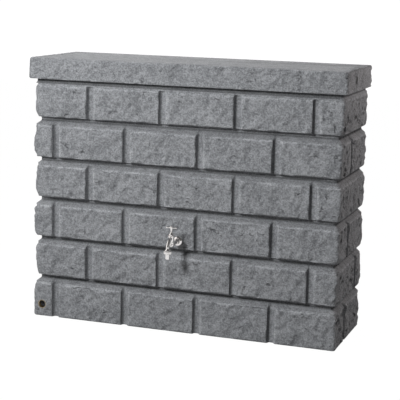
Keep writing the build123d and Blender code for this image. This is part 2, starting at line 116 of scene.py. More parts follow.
# How much painted light and shade lighten or darken the plastic, and how much rougher the ends are
# Painted highlight on the arrises, partly standing for their smoother, lighter plastic
ARRIS_LIGHT = 0.30
# Painted shade in the upright joints, on their left walls, on the ledges and in the bed joints
JOINT_SHADE = 0.04
FACING_SHADE = 0.40
LEDGE_SHADE = 0.42
FRONT_BED_SHADE = 0.50
END_BED_SHADE = 0.75
# Painted shade in pits on the ends, on the collar under the lid, and inside
PIT_SHADE = 0.75
COLLAR_SHADE = 0.55
INSIDE_SHADE = 0.10
# Painted light on the lid's top and right end, and painted shade on its split and in a pit on its end
TOP_LIGHT = 0.06
SPLIT_SHADE = 0.30
LID_END_LIGHT = 0.12
LID_PIT_SHADE = 1.2
END_ROUGHNESS = 1.7

# Lid
LID_LOW, LID_HIGH = limits("lid_shell")
LID_HALF = LID_HIGH[0]
LID_FRONT = LID_LOW[1]
LID_BACK = LID_HIGH[1]
LID_BOTTOM_Z = LID_LOW[2]
LID_TOP_Z = LID_HIGH[2]
LID_FIELD_Z = LID_TOP_Z - 2.0
LID_ROOF_Z = LID_TOP_Z - 6.0
LID_SKIRT = 9.0
LID_BACK_SKIRT = 4.0
LID_RING_GAP = 3.0
LID_RING_WALL = 4.0
LID_RING_BOTTOM_Z = 940.0
LID_BORDER = 40.0
LID_SPLIT_LEAN = 58.0
# A slanting pit on the lid's right end, whose shade is painted dark
LID_PIT_Y = -62.0
LID_PIT_Z = 943.0
LID_PIT_HALF_WIDTH = 14.0
LID_PIT_HALF_HEIGHT = 17.0
LID_PIT_LEAN = 0.35
LID_RIB_X = (-480.0, -240.0, 0.0, 240.0, 480.0)
LID_RIB_Y = (-90.0, 100.0)
SCREW_HEAD_RADIUS = 6.0
SCREW_X = limits("lid_screws")[1][0] - SCREW_HEAD_RADIUS
SCREW_Y = middle("lid_screws")[1]
POCKET_Z = limits("lid_screw_washers")[0][2]
POCKET_RADIUS = 7.0
SHANK_HOLE_RADIUS = 3.4
RIB_HALF = 2.0

# Tap, drain and filler
ROSETTE_LOW, ROSETTE_HIGH = limits("tap_rosette")
TAP_X, _, INLET_Z = middle("tap_rosette")
SPINDLE_Y = middle("handle_hub")[1]
OUTLET_Y = middle("hose_union_nut")[1]
BELLY_Y = SPINDLE_Y + 4.0
PIPE_PITCH = 1.814
FLOW_RADIUS = 3.8
STEM_HOLE_RADIUS = 2.66
CASTING_TOP_Z = 374.0
OUTLET_Z = 319.0
# The space left over the risen valve, and what each end of the bar is short of its node
VALVE_STOP_GAP = 0.1
BAR_TRIM = 1.5
DRAIN_LOW, DRAIN_HIGH = limits("drain_insert")
DRAIN_X, _, DRAIN_Z = middle("drain_insert")
FILLER_LOW = limits("filler_grommet")[0]
_, FILLER_Y, FILLER_Z = middle("filler_grommet")

# Bosses inside the tank, and the holes for what sits in them
TAP_BOSS_RADIUS = 17.0
DRAIN_BOSS_RADIUS = 20.5
SCREW_BOSS_RADIUS = 9.0
SCREW_BOSS_DEPTH = 24.6
TAP_BUSH_RADIUS = 13.0
TAP_THREAD_RADIUS = 9.6
DRAIN_BUSH_RADIUS = 16.5
FILLER_HOLE_RADIUS = 20.0
SCREW_BUSH_RADIUS = 4.5


# ---- shader sums

class Wire:
    """A shader socket that takes part in Python sums."""

    def __init__(self, graph, socket):
        self.graph = graph
        self.socket = socket

    def math(self, operation, first, second=0.0):
        return self.graph.node("ShaderNodeMath", {"operation": operation}, {0: first, 1: second})

    def __add__(self, other):
        return self.math("ADD", self, other)

    def __radd__(self, other):
        return self.math("ADD", other, self)

    def __sub__(self, other):
        return self.math("SUBTRACT", self, other)

    def __rsub__(self, other):
        return self.math("SUBTRACT", other, self)

    def __mul__(self, other):
        return self.math("MULTIPLY", self, other)

    def __rmul__(self, other):
        return self.math("MULTIPLY", other, self)

    def __abs__(self):
        return self.math("ABSOLUTE", self)


class Graph:
    """A node tree whose nodes are added one at a time."""

    def __init__(self, tree):
        self.tree = tree

    def fill(self, node, sockets):
        """Sets or links the named sockets of a node."""
        for key, value in sockets.items():
            if isinstance(value, Wire):
                self.tree.links.new(value.socket, node.inputs[key])
            else:
                node.inputs[key].default_value = value

    def node(self, kind, settings=None, sockets=None, output=0):
        """Adds a node: its settings first, then its sockets. Gives one of its outputs."""
        made = self.tree.nodes.new(kind)
        for key, value in (settings or {}).items():
            setattr(made, key, value)
        self.fill(made, sockets or {})
        return Wire(self, made.outputs[output])

    def mix(self, factor, dark, light):
        """A colour between two others."""
        return self.node("ShaderNodeMix", {"data_type": "RGBA"}, {0: factor, 6: dark, 7: light}, output=2)

    def step(self, value, low, high):
        """0 below low, 1 above high, and a smooth rise between."""
        settings = {"interpolation_type": "SMOOTHSTEP"}
        return self.node("ShaderNodeMapRange", settings, {0: value, 1: low, 2: high})


class Finish(Graph):
    """A material built round one shader."""

    def __init__(self, name):
        self.material = bpy.data.materials.new(name)
        self.material.use_nodes = True
        super().__init__(self.material.node_tree)
        self.shader = self.tree.nodes["Principled BSDF"]
        self.place = self.node("ShaderNodeTexCoord", output="Object")

    def noise(self, size, detail=2.0, rough=0.55, place=None):
        """Cloudy noise whose patches are about size millimetres wide."""
        sockets = {"Vector": place or self.place, "Scale": 1.0 / (size * MM), "Detail": detail,
                   "Roughness": rough}
        return self.node("ShaderNodeTexNoise", {"noise_dimensions": "3D"}, sockets)

    def mark(self, name):
        """A number painted on the mesh, point by point."""
        return self.node("ShaderNodeAttribute", {"attribute_name": name}, output="Fac")

    def shade(self, colour, amount):
        """A colour made lighter or darker by an amount."""
        return self.node("ShaderNodeVectorMath", {"operation": "SCALE"}, {0: colour, "Scale": amount})

    def bump(self, height, depth):
        """A normal from a height between 0 and 1 that stands for depth millimetres."""
        return self.node("ShaderNodeBump", None, {"Height": height, "Distance": depth * MM, "Strength": 1.0})

    def coat(self, **sockets):
        """Sets the shader's own sockets, written with _ for a space."""
        named = {key.replace("_", " "): value for key, value in sockets.items()}
        self.fill(self.shader, named)
        return self.material


def granite_plastic():
    """Grey moulded plastic: hewn faces are granular, flecked and here and there cracked, with painted shade
    in the cracks.
    The hewn marks, and the wear and painted light and shade, come from paint_tank and paint_lid."""
    finish = Finish("granite_plastic")
    hewn = finish.mark("hewn")
    leaning = finish.node("ShaderNodeMapping", None,
                          {"Vector": finish.place, "Rotation": (0, -0.8, 0), "Scale": (0.65, 1.0, 1.0)})
    grain = finish.noise(5.5, 3.0, 0.65)
    crumbs = finish.noise(11.0, 3.0, 0.6, leaning)
    clouds = finish.noise(70.0, 3.0, 0.6)
    # Crack lines: sunk in the bump, and darkened in the colour as painted shade in the crevices
    crack_and_shade = 1 - finish.step(abs(finish.noise(22.0, 2.0, 0.5, leaning) - 0.5), 0.0, 0.05)
    crack_and_shade = crack_and_shade * hewn * finish.step(finish.noise(34.0, 1.0), 0.60, 0.74)
    flecks = finish.step(finish.noise(3.6, 1.0), 0.66, 0.74)
    spots = finish.step(finish.noise(5.0, 1.0), 0.64, 0.72)
    tone = 0.5 + 3.4 * (grain - 0.5) + 1.5 * (crumbs - 0.5) + 1.0 * (clouds - 0.5)
    stone = finish.mix(tone, (0.130, 0.135, 0.143, 1), (0.288, 0.296, 0.308, 1))
    stone = finish.mix(0.35 * flecks, stone, (0.46, 0.47, 0.48, 1))
    stone = finish.mix(0.35 * spots, stone, (0.07, 0.072, 0.076, 1))
    # Painted light and shade from the meshes, and painted shade along the cracks, scale the colour
    light = (1 + finish.mark("wear") * (0.5 + 1.0 * crumbs)) * (1 - 0.5 * crack_and_shade)
    height = hewn * (0.45 * crumbs + 0.35 * grain - 0.5 * crack_and_shade) + 0.12 * grain
    return finish.coat(
        Base_Color=finish.shade(stone, light),
        Roughness=0.62 + 0.3 * grain,
        Normal=finish.bump(height, 6.0),
    )


def plated(name, colour, rough, wear):
    """Polished metal with faint water marks and small dimples."""
    finish = Finish(name)
    marks = finish.noise(9.0, 4.0, 0.65)
    specks = finish.noise(0.9, 2.0)
    dulled = [0.72 * c for c in colour[:3]] + [1]
    tint = finish.mix(finish.step(marks, 0.45, 0.7) * wear, colour, dulled)
    return finish.coat(
        Base_Color=tint,
        Metallic=1.0,
        Roughness=rough + 0.35 * wear * finish.step(marks, 0.42, 0.75),
        Normal=finish.bump(specks, 0.01 + 0.05 * wear),
    )


def soft_black(name, colour, rough, grain_size):
    """Rubber, fibre or plain plastic with dust in its grain."""
    finish = Finish(name)
    grain = finish.noise(grain_size, 3.0, 0.6)
    dust = finish.step(finish.noise(14.0, 4.0, 0.65), 0.5, 0.75)
    dusty = [0.7 * c + 0.05 for c in colour[:3]] + [1]
    return finish.coat(
        Base_Color=finish.mix(0.6 * dust * grain, colour, dusty),
        Roughness=rough + 0.2 * (grain - 0.5),
        Normal=finish.bump(grain, 0.12),
    )


FINISHES = {
    "granite_plastic": granite_plastic(),
    "chrome": plated("chrome", (0.86, 0.84, 0.83, 1), 0.07, 0.12),
    "brass": plated("brass", (0.46, 0.39, 0.28, 1), 0.30, 0.8),
    "stainless": plated("stainless", (0.60, 0.60, 0.60, 1), 0.24, 0.5),
    "rubber": soft_black("rubber", (0.022, 0.022, 0.023, 1), 0.62, 0.8),
    "fibre": soft_black("fibre", (0.17, 0.095, 0.07, 1), 0.75, 0.4),
    "plug_plastic": soft_black("plug_plastic", (0.03, 0.03, 0.033, 1), 0.45, 0.7),
}


# ---- mesh tools

def new_object(name, points, faces):
    """A mesh object from points in millimetres."""
    mesh = bpy.data.meshes.new(name)
    mesh.from_pydata((np.asarray(points, float) * MM).tolist(), [], faces)
    piece = bpy.data.objects.new(name, mesh)
    bpy.context.scene.collection.objects.link(piece)
    return piece


def outward(piece):
    """Turns every face of a closed mesh outward."""
    work = bmesh.new()
    work.from_mesh(piece.data)
    bmesh.ops.recalc_face_normals(work, faces=work.faces)
    work.to_mesh(piece.data)
    work.free()
    return piece


def ring_solid(name, rings, closed=False):
    """A closed solid through rings of points, capped at both ends or joined end to start."""
    count, width = rings.shape[:2]
    spots = np.arange(count * width).reshape(count, width)
    turned_spots = np.roll(spots, -1, axis=1)
    upper = np.roll(spots, -1, axis=0)
    upper_turned = np.roll(turned_spots, -1, axis=0)
    quads = np.stack((spots, turned_spots, upper_turned, upper), axis=2)
    faces = quads[:count if closed else count - 1].reshape(-1, 4).tolist()
    if not closed:
        faces.append(spots[0, ::-1].tolist())
        faces.append(spots[-1].tolist())
    return new_object(name, rings.reshape(-1, 3), faces)


def settle(piece):
    """Turns a piece's modifiers into its own mesh."""
    bpy.context.view_layer.update()
    evaluated = piece.evaluated_get(bpy.context.evaluated_depsgraph_get())
    mesh = bpy.data.meshes.new_from_object(evaluated)
    piece.modifiers.clear()
    old = piece.data
    piece.data = mesh
    bpy.data.meshes.remove(old)
    return piece


def combine(piece, operation, tools):
    """Joins tools to a piece or cuts them from it, and removes them."""
    for tool in tools:
        step = piece.modifiers.new("combine", "BOOLEAN")
        step.operation = operation
        step.solver = "MANIFOLD"
        step.object = tool
        settle(piece)
        bpy.data.meshes.remove(tool.data)
    return piece


def join(piece, *tools):
    return combine(piece, "UNION", tools)


def cut(piece, *tools):
    return combine(piece, "DIFFERENCE", tools)


def slab(x0, x1, y0, y1, z0, z1):
    """A plain block, used to build up or cut a piece."""
    ring = [(x0, y0), (x1, y0), (x1, y1), (x0, y1)]
    return ring_solid("slab", np.array([[(x, y, z) for x, y in ring] for z in (z0, z1)]))


def eased(points, size, closed=True):
    """The outline with each corner rounded off by size, or less where a side is short."""
    points = [np.array(p, float) for p in points]
    count = len(points)
    soft = []
    for k, corner in enumerate(points):
        if not closed and k in (0, count - 1):
            soft.append(corner)
            continue
        ends = []
        for other in (points[k - 1], points[(k + 1) % count]):
            side = other - corner
            length = np.hypot(*side)
            ends.append(corner + side * min(size / max(length, 1e-9), 0.42))
        soft += [ends[0], (ends[0] + 2 * corner + ends[1]) / 4, ends[1]]
    return soft


def turned(name, outline, centre, facing="Z", bore=True, steps=96, ribs=None):
    """A piece turned on a lathe: outline holds (radius, distance along the axis) pairs.
    With a bore the outline closes on itself. ribs is (count, depth, least radius)."""
    radius, along = np.array(outline, float).T
    angle = np.arange(steps) * 2 * math.pi / steps
    spread = np.repeat(radius[:, None], steps, axis=1)
    if ribs:
        count, depth, least = ribs
        wave = depth * (0.5 + 0.5 * np.cos(count * angle)) ** 2
        spread = spread - np.where(radius[:, None] > least, wave[None, :], 0.0)
    across = spread * np.cos(angle)
    over = spread * np.sin(angle)
    length = np.repeat(along[:, None], steps, axis=1)
    axes = {"Z": (across, over, length), "Y": (across, length, over), "X": (length, across, over)}
    rings = np.stack(axes[facing], axis=2) + np.array(centre, float)
    return outward(ring_solid(name, rings, closed=bore))


def rod(radius, start, end, centre, facing="Z", steps=64):
    """A plain round bar, used to build up or cut a piece."""
    return turned("rod", [(radius, start), (radius, end)], centre, facing, False, steps)


def hexagon(across_corners, start, end, centre, facing="Z"):
    return rod(across_corners / 2, start, end, centre, facing, 6)


def smooth_line(points, rounds=4):
    """The points with their corners cut again and again into a smooth line."""
    line = [np.array(p, float) for p in points]
    for _ in range(rounds):
        softer = [line[0]]
        for a, b in zip(line, line[1:]):
            softer += [0.75 * a + 0.25 * b, 0.25 * a + 0.75 * b]
        line = softer + [line[-1]]
    return np.array(line)


def pipe(points, radii, steps=40):
    """A round bar along a line in the plane of the tap, with a radius for each point."""
    way = np.gradient(points, axis=0)
    way /= np.linalg.norm(way, axis=1)[:, None]
    side = np.array((1.0, 0.0, 0.0))
    over = np.cross(way, side)
    angle = np.arange(steps) * 2 * math.pi / steps
    radii = np.broadcast_to(radii, len(points))[:, None, None]
    round_about = side * np.cos(angle)[None, :, None] + over[:, None, :] * np.sin(angle)[None, :, None]
    return outward(ring_solid("pipe", points[:, None, :] + radii * round_about))


def ball(radius, centre, steps=40):
    """A sphere from rings, used to build up a casting."""
    tilt = np.linspace(-0.48, 0.48, 24) * math.pi
    outline = [(radius * math.cos(a), radius * math.sin(a)) for a in tilt]
    return turned("ball", outline, centre, "Z", False, steps)


def fused(name, parts, grid, rounds):
    """Parts melted into one casting, with soft fillets where they meet."""
    work = bmesh.new()
    for part in parts:
        work.from_mesh(part.data)
        bpy.data.meshes.remove(part.data)
    mesh = bpy.data.meshes.new(name)
    work.to_mesh(mesh)
    work.free()
    piece = bpy.data.objects.new(name, mesh)
    bpy.context.scene.collection.objects.link(piece)
    melt = piece.modifiers.new("melt", "REMESH")
    melt.mode = "VOXEL"
    melt.voxel_size = grid * MM
    ease = piece.modifiers.new("ease", "SMOOTH")
    ease.factor = 0.5
    ease.iterations = rounds
    return settle(piece)


def finished(piece, body, slot, replaced, sharp=42.0):
    """Gives a piece its finish and edges, and lets it ride on its body in place of its nodes."""
    piece.data.materials.clear()
    piece.data.materials.append(FINISHES[slot])
    for face in piece.data.polygons:
        face.use_smooth = True
    piece.data.set_sharp_from_angle(angle=math.radians(sharp))
    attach(piece, body)
    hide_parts(*replaced)
    return piece


# ---- chiselled stone

def rise(value):
    """0 at 0 or less, 1 at 1 or more, and a smooth rise between."""
    t = np.clip(value, 0.0, 1.0)
    return t * t * (3 - 2 * t)


def lattice(seed, count=128):
    """Four square tables of seeded random numbers."""
    return np.random.default_rng(seed).random((4, count, count))


def ripple(u, v, size, seed):
    """Smooth random heights between about -1 and 1, with patches about size wide."""
    table = lattice(seed)[0] * 2 * math.pi
    count = len(table)
    u, v = u / size, v / size
    cell_u, cell_v = np.floor(u).astype(int), np.floor(v).astype(int)
    du, dv = u - cell_u, v - cell_v
    total = 0.0
    for i in (0, 1):
        for j in (0, 1):
            angle = table[(cell_u + i) % count, (cell_v + j) % count]
            slope = np.cos(angle) * (du - i) + np.sin(angle) * (dv - j)
            share_u = rise(du) if i else 1 - rise(du)
            share_v = rise(dv) if j else 1 - rise(dv)
            total = total + slope * share_u * share_v
    return 1.6 * total


def facets(u, v, size, seed, crisp):
    """Heights of flat tilted flakes about size wide, as a chisel leaves."""
    off_u, off_v, tilt, level = lattice(seed)
    count = len(tilt)
    u, v = u / size, v / size
    cell_u, cell_v = np.floor(u).astype(int), np.floor(v).astype(int)
    total, share = 0.0, 0.0
    for i in (-1, 0, 1):
        for j in (-1, 0, 1):
            a, b = (cell_u + i) % count, (cell_v + j) % count
            du = u - (cell_u + i + off_u[a, b])
            dv = v - (cell_v + j + off_v[a, b])
            weight = np.exp(-crisp * (du * du + dv * dv))
            lean = 2 * math.pi * tilt[a, b]
            height = level[a, b] - 0.5 + 0.9 * (np.cos(lean) * du + np.sin(lean) * dv)
            total = total + weight * height
            share = share + weight
    return total / share


def split_stone(u, v, seed):
    """Depth in millimetres, -2.4 to 6, of a split stone face with strokes that run up to the right."""
    along, across = (u + v) * 0.7071, (v - u) * 0.7071
    warp = 7.0 * ripple(u, v, 34.0, seed)
    broad = facets(along / 1.3 + warp, across + warp, 54.0, seed + 1, 8.0)
    flakes = facets(along / 1.5 - warp, across, 24.0, seed + 2, 12.0)
    ridges = 1.0 - np.abs(ripple(along / 1.6 + warp, across, 19.0, seed + 3)) * 2.2
    chips = ripple(u, v, 12.0, seed + 4)
    pits = np.clip(ripple(u / 1.3, v, 27.0, seed + 5) - 0.46, 0.0, 0.4)
    depth = 5.6 * broad + 4.2 * flakes + 0.9 * ridges + 0.9 * chips + 9.0 * pits - 0.5
    return np.clip(depth, -2.4, 6.0)


# ---- moulded walls

# Points round a corner, and how far from a corner its dents begin to press both ways
ARC_STEPS = 4
REACH = 100.0


def stations(length, step, lines):
    """Places along a side, about a step apart, with one exactly on each line."""
    lines = [line for line in lines if 0.4 * step < line < length - 0.4 * step]
    even = np.arange(round(length / step)) * length / round(length / step)
    free = [place for place in even if not lines or np.abs(np.array(lines) - place).min() > 0.4 * step]
    return np.array(sorted(free + lines))


def outline_round(half, front, back, step, back_step, end_lines=(), front_lines=()):
    """Points round a rounded rectangle from the back left, counter-clockwise from above,
    with the side (0 left, 1 front, 2 right, 3 back) and the distance run at each."""
    corners = [Vector((-half, back)), Vector((-half, front)), Vector((half, front)), Vector((half, back))]
    points, sides = [], []
    for side, corner in enumerate(corners):
        following = corners[(side + 1) % 4]
        along = (following - corner).normalized()
        inward = Vector((-along.y, along.x))
        marked = {1: front_lines, 3: ()}.get(side, end_lines)
        lines = [(Vector((line, line)) - corner).dot(along) - CORNER_RADIUS for line in marked]
        length = (following - corner).length - 2 * CORNER_RADIUS
        places = stations(length, back_step if side == 3 else step, lines)
        points += [corner + along * (CORNER_RADIUS + place) for place in places]
        centre = following + (inward - along) * CORNER_RADIUS
        for i in range(ARC_STEPS):
            angle = 0.5 * math.pi * i / ARC_STEPS
            points.append(centre + CORNER_RADIUS * (along * math.sin(angle) - inward * math.cos(angle)))
        sides += [side] * (len(places) + ARC_STEPS)
    points, sides = np.array(points), np.array(sides)
    run = np.concatenate(([0.0], np.cumsum(np.hypot(*np.diff(points, axis=0).T))))
    last = run[np.flatnonzero(sides == 2)[-1]]
    run = np.where(sides == 3, np.where(points[:, 0] > 0, last, 0.0), run)
    return points, sides, run


def rows_along(path, ease, face_step, joint_step):
    """Depth and height of each ring along a wall's section, closer together in the joints."""
    path = np.array(path, float)
    spot = np.concatenate(([0.0], np.cumsum(np.hypot(*np.diff(path, axis=0).T))))
    fine = np.linspace(0.0, spot[-1], int(spot[-1] * 2))
    depth, height = (np.interp(fine, spot, line) for line in path.T)
    half = round(2 * ease)
    window = np.ones(2 * half + 1) / (2 * half + 1)
    ends = (depth[[0, -1]], height[[0, -1]])
    depth, height = (np.convolve(np.pad(line, half, "edge"), window, "valid") for line in (depth, height))
    depth[[0, -1]], height[[0, -1]] = ends
    pace = np.where(depth > path[:, 0].min() + 0.4, 1.0 / joint_step, 1.0 / face_step)
    count = np.concatenate(([0.0], np.cumsum(pace[1:] * np.diff(fine))))
    stops = np.linspace(0.0, count[-1], round(count[-1]) + 1)
    return np.interp(stops, count, depth), np.interp(stops, count, height)


def wall_form(name, half, front, back, rows, dent, step, back_step, top_dent=None, lines=((), ())):
    """A closed form whose upright sides follow rows of (depth, height), pressed in by dent
    round the front and ends. dent(side, x, y, run, z, bed) gives each point's whole depth,
    on the front and ends and then on the back."""
    points, side, run = outline_round(half, front, back, step, back_step, *lines)
    x, y = points.T
    bed, z = rows
    bed, z = bed[:, None], z[:, None]
    depth, collar = dent(side, x, y, run, z, bed)
    x = np.broadcast_to(x, depth.shape)
    y = np.broadcast_to(y, depth.shape)
    to_end = rise((np.abs(x) - half + REACH) / REACH)
    to_front = rise((front + REACH - y) / REACH)
    to_back = rise((y - back + REACH) / REACH)
    drop = top_dent(run, x, y, z, bed) if top_dent else 0.0
    z = np.broadcast_to(z - drop, depth.shape)
    pressed = (x - np.sign(x) * to_end * depth, y + to_front * depth - to_back * collar, z)
    return ring_solid(name, np.stack(pressed, axis=2))


def joint_depth(side, x, y, z, inset):
    """Depth of the upright joints at each point, past the face, and how far the rough stone has set in
    beside them: 0 at a joint's edge and 1 past its smooth margin, which is wide on the joint's right."""
    depth = np.zeros(np.broadcast(x, z).shape)
    clear = np.ones(depth.shape)
    mouth = JOINT_HALF_MOUTH + inset
    for course in range(COURSE_COUNT):
        last = course == COURSE_COUNT - 1
        top = JOINT_TOP_Z + 6.0 + inset if last else (course + 1) * COURSE_HEIGHT
        here = (z >= course * COURSE_HEIGHT) & (z < top)
        share = np.where(here, rise((top - z) / 12.0) if last else 1.0, 0.0)
        lines = [(side == 1, x, FIRST_JOINT_X[course % 2] + brick * BRICK_LENGTH)
                 for brick in range(BRICKS_PER_COURSE)]
        if course in END_JOINT_Y:
            lines.append(((side == 0) | (side == 2), y, END_JOINT_Y[course]))
        for on_side, along, line in lines:
            off = np.where(here & on_side, along - line, 999.0)
            swell = np.clip(np.abs(off) / mouth, 0.0, 1.0)
            swell = swell ** np.where((side == 1) & (off > 0), RIGHT_SWELL, LEFT_SWELL)
            depth = np.maximum(depth, JOINT_DEPTH * (1 - swell) * share)
            margin = np.where((side == 1) & (off > 0), RIGHT_MARGIN, LEFT_MARGIN)
            clear = np.minimum(clear, np.clip((np.abs(off) - mouth) / margin, 0.0, 1.0))
    return depth, clear


def bare_round(x, z, on_side, centre, inner, outer):
    """0 within inner of a fitting's centre on one side, rising to 1 at outer."""
    away = np.hypot(x - centre[0], z - centre[1])
    return np.where(on_side, rise((away - inner) / (outer - inner)), 1.0)


def brick_place(x, y, z):
    """For each point: its course, heights over the bed below and under the bed above,
    and how far it is from the nearest upright corner of the tank."""
    course = np.clip(np.floor(z / COURSE_HEIGHT), 0, COURSE_COUNT - 1)
    over_bed = z - course * COURSE_HEIGHT - np.where(course > 0, BED_TOP, 0.0)
    under_bed = (course + 1) * COURSE_HEIGHT + BED_BOTTOM - z
    under_bed = np.where(course == COURSE_COUNT - 1, SHOULDER_Z - z, under_bed)
    corner = np.abs(np.abs(x) - TANK_HALF) + np.minimum(np.abs(y - TANK_FRONT), np.abs(y - TANK_BACK))
    return course, over_bed, under_bed, corner


def hewn_share(clear, over_bed, under_bed):
    """1 on a brick's rough face, falling to 0 at its smooth margins."""
    return rise(clear) * rise(over_bed / 4.0) * rise((under_bed + 1.0) / 4.0)


def fitting_pads(side, x, y, z):
    """0 where a fitting needs a flat wall, and 1 away from it."""
    pads = bare_round(x, z, side == 1, (TAP_X, INLET_Z), 19.0, 34.0)
    pads = pads * bare_round(x, z, side == 1, (DRAIN_X, DRAIN_Z), 18.0, 28.0)
    return pads * bare_round(y, z, side == 0, (FILLER_Y, FILLER_Z), 28.0, 40.0)


def tank_dent(inset, chiselled):
    """How deep the tank's wall is pressed in at each point."""
    def dent(side, x, y, run, z, bed):
        joint, clear = joint_depth(side, x, y, z, inset)
        bed = bed - inset
        collar = np.where(z > JOINT_TOP_Z, bed, 0.0)
        deeper = (FRONT_BED_DEPTH / BED_DEPTH - 1) * rise((TANK_HALF - np.abs(x) - 25.0) / 60.0)
        deeper = np.where(side == 1, deeper, 0.0) - 0.15
        bed = np.where((side != 3) & (z < JOINT_TOP_Z - 8.0), bed * (1 + deeper), bed)
        depth = np.maximum(bed, joint)
        if not chiselled:
            return depth, collar
        course, over_bed, under_bed, corner = brick_place(x, y, z)
        vigour = np.where(side == 1, 1.0, 1.5) * (1 - 0.45 * np.exp(-(corner / 30.0) ** 2))
        stone = hewn_share(clear, over_bed, under_bed) * vigour
        face = STONE_LEVEL * vigour + stone * split_stone(run + 37.0 * course, z, 11)
        low_edge = rise((28.0 - over_bed) / 28.0) ** 1.4 * (course > 0)
        high_edge = rise((14.0 - under_bed) / 14.0)
        face = face + np.exp(-(corner / 20.0) ** 2) * (6.0 * low_edge + 5.0 * high_edge)
        face = face + 5.0 * np.exp(-(corner / 45.0) ** 2) * ((course % 2 == 1) & (x < 0))
        face = face * fitting_pads(side, x, y, z)
        face = face * rise((SHOULDER_Z + 8.0 - z) / 6.0)
        face = np.where(side == 3, np.where(corner < REACH, face, 0.0), face)
        return np.maximum(depth, face), collar
    return dent


def paint_points(piece, **marks):
    """Paints numbers on a mesh's points, for its finish to read."""
    for name, values in marks.items():
        layer = piece.data.attributes.new(name, "FLOAT", "POINT")
        layer.data.foreach_set("value", np.asarray(values, np.float32))


def point_places(piece):
    """A mesh's points as three arrays, in millimetres."""
    flat = np.zeros(len(piece.data.vertices) * 3)
    piece.data.vertices.foreach_get("co", flat)
    return flat.reshape(-1, 3).T / MM


def paint_tank(piece):
    """Marks the hewn faces, and paints light and shade: a highlight on the arrises, partly their smoother
    plastic, and shade in the joints, on the ledges, in the beds, in pits on the ends, on the collar and
    inside.
    """
    x, y, z = point_places(piece)
    outside = np.abs(x) - TANK_HALF > TANK_FRONT - y
    side = np.where(outside, np.where(x < 0, 0, 2), 1)
    side = np.where((y > TANK_BACK - 0.5) | (z > SHOULDER_Z + 4.0), 3, side)
    joint, clear = joint_depth(side, x, y, z, 0.0)
    _, over_bed, under_bed, corner = brick_place(x, y, z)
    on_wall = side != 3
    inside = (np.abs(x) < TANK_HALF - 45.0) & (y > TANK_FRONT + 45.0)
    hewn = hewn_share(clear, over_bed, under_bed) * fitting_pads(side, x, y, z)
    vigour = np.where(side == 1, 1.0, END_ROUGHNESS)
    hewn = np.where(on_wall & ~inside, (0.25 + 0.75 * hewn) * vigour, 0.0)
    # Painted highlight on the joints' right arrises and the bricks' top arrises, partly their smoother,
    # lighter plastic
    arris = (1 - rise(clear)) * (side == 1) * rise((8.0 - joint) / 5.0)
    arris = np.maximum(arris * 0.7, rise((4.0 - np.abs(under_bed - 1.0)) / 3.0))
    # Painted shade in the joints, on their left walls, on the ledges and in the bed joints
    in_joint = rise(joint / JOINT_DEPTH)
    fall = joint_depth(side, x + 3.0, y, z, 0.0)[0] - joint_depth(side, x - 3.0, y, z, 0.0)[0]
    facing = np.clip(fall / 10.0, -0.3, 1.0) * (side == 1)
    in_bed = rise((-over_bed - 2.0) / 4.0) * (z > COURSE_HEIGHT / 2)
    on_ledge = rise(-under_bed / 8.0) * (z < SHOULDER_Z - 20.0)
    sunk = np.maximum(in_bed, rise((-under_bed - 14.0) / 5.0)) * (z < SHOULDER_Z - 20.0)
    wear = ARRIS_LIGHT * arris * (1 - in_joint) - JOINT_SHADE * in_joint - FACING_SHADE * facing
    sunk = sunk * np.where(side == 1, FRONT_BED_SHADE, END_BED_SHADE)
    wear = np.where(on_wall, np.minimum(wear, ARRIS_LIGHT - LEDGE_SHADE * on_ledge - sunk), 0.0)
    # Painted shade standing for shaded pits on the ends
    shaded_pits = rise((ripple(y + 0.3 * z, z / 1.3, 17.0, 83) - 0.40) / 0.16)
    shaded_pits = shaded_pits * (side != 1) * rise((corner - 12.0) / 10.0)
    wear = np.where(on_wall, wear - PIT_SHADE * shaded_pits * rise(hewn), 0.0)
    # Painted shade on the collar under the lid and inside the tank
    collar = (z > SHOULDER_Z + 9.0 + END_LIFT * (np.abs(x) > TANK_HALF - 20.0)) & ~inside
    wear = np.where(inside, -INSIDE_SHADE, np.where(collar, -COLLAR_SHADE, wear))
    paint_points(piece, hewn=hewn, wear=wear)


def tank_section(inset):
    """Corners of the wall's section as (depth, height) pairs, from the ground to the rim."""
    path = [(inset + FOOT_EASE * (inset == 0), inset)]
    if inset == 0:
        path.append((0.0, FOOT_EASE))
    for course in range(1, COURSE_COUNT):
        line = course * COURSE_HEIGHT
        path.append((inset, line + BED_BOTTOM - 1.2 * inset))
        path.append((BED_DEPTH + inset, line + BED_FLOOR_BOTTOM - 0.8 * inset))
        path.append((BED_DEPTH + inset, line + BED_FLOOR_TOP + inset))
        path.append((inset, line + BED_TOP + 1.2 * inset))
    path.append((inset, SHOULDER_Z - 0.5 * inset))
    path.append((inset + COLLAR_INSET, SHOULDER_Z + COLLAR_INSET - 0.5 * inset))
    path.append((inset + COLLAR_INSET, RIM_Z - inset))
    return path


def shoulder_sink(run, x, y, z, bed):
    """How far the shoulder drops: below 0 on the ends, where it rises closer to the lid."""
    at_end = rise((np.abs(x) - TANK_HALF + 40.0) / 30.0)
    return -END_LIFT * at_end * rise((z - SHOULDER_Z + 40.0) / 40.0) * rise((RIM_Z - 20.0 - z) / 40.0)


def mouth(gap, z0, z1):
    """A block that fills the tank's mouth, smaller all round by gap."""
    inset = COLLAR_INSET + RIM_WIDTH + gap
    return slab(inset - TANK_HALF, TANK_HALF - inset, TANK_FRONT + inset, TANK_BACK - inset, z0, z1)


def joint_edges(lines):
    """Where the edges of upright joints fall along a side."""
    return [line + share * JOINT_HALF_MOUTH for line in lines for share in
            (-1.0, -0.9, -0.7, -0.4, 0.0, 0.3, 0.6, 0.82, 1.0)]


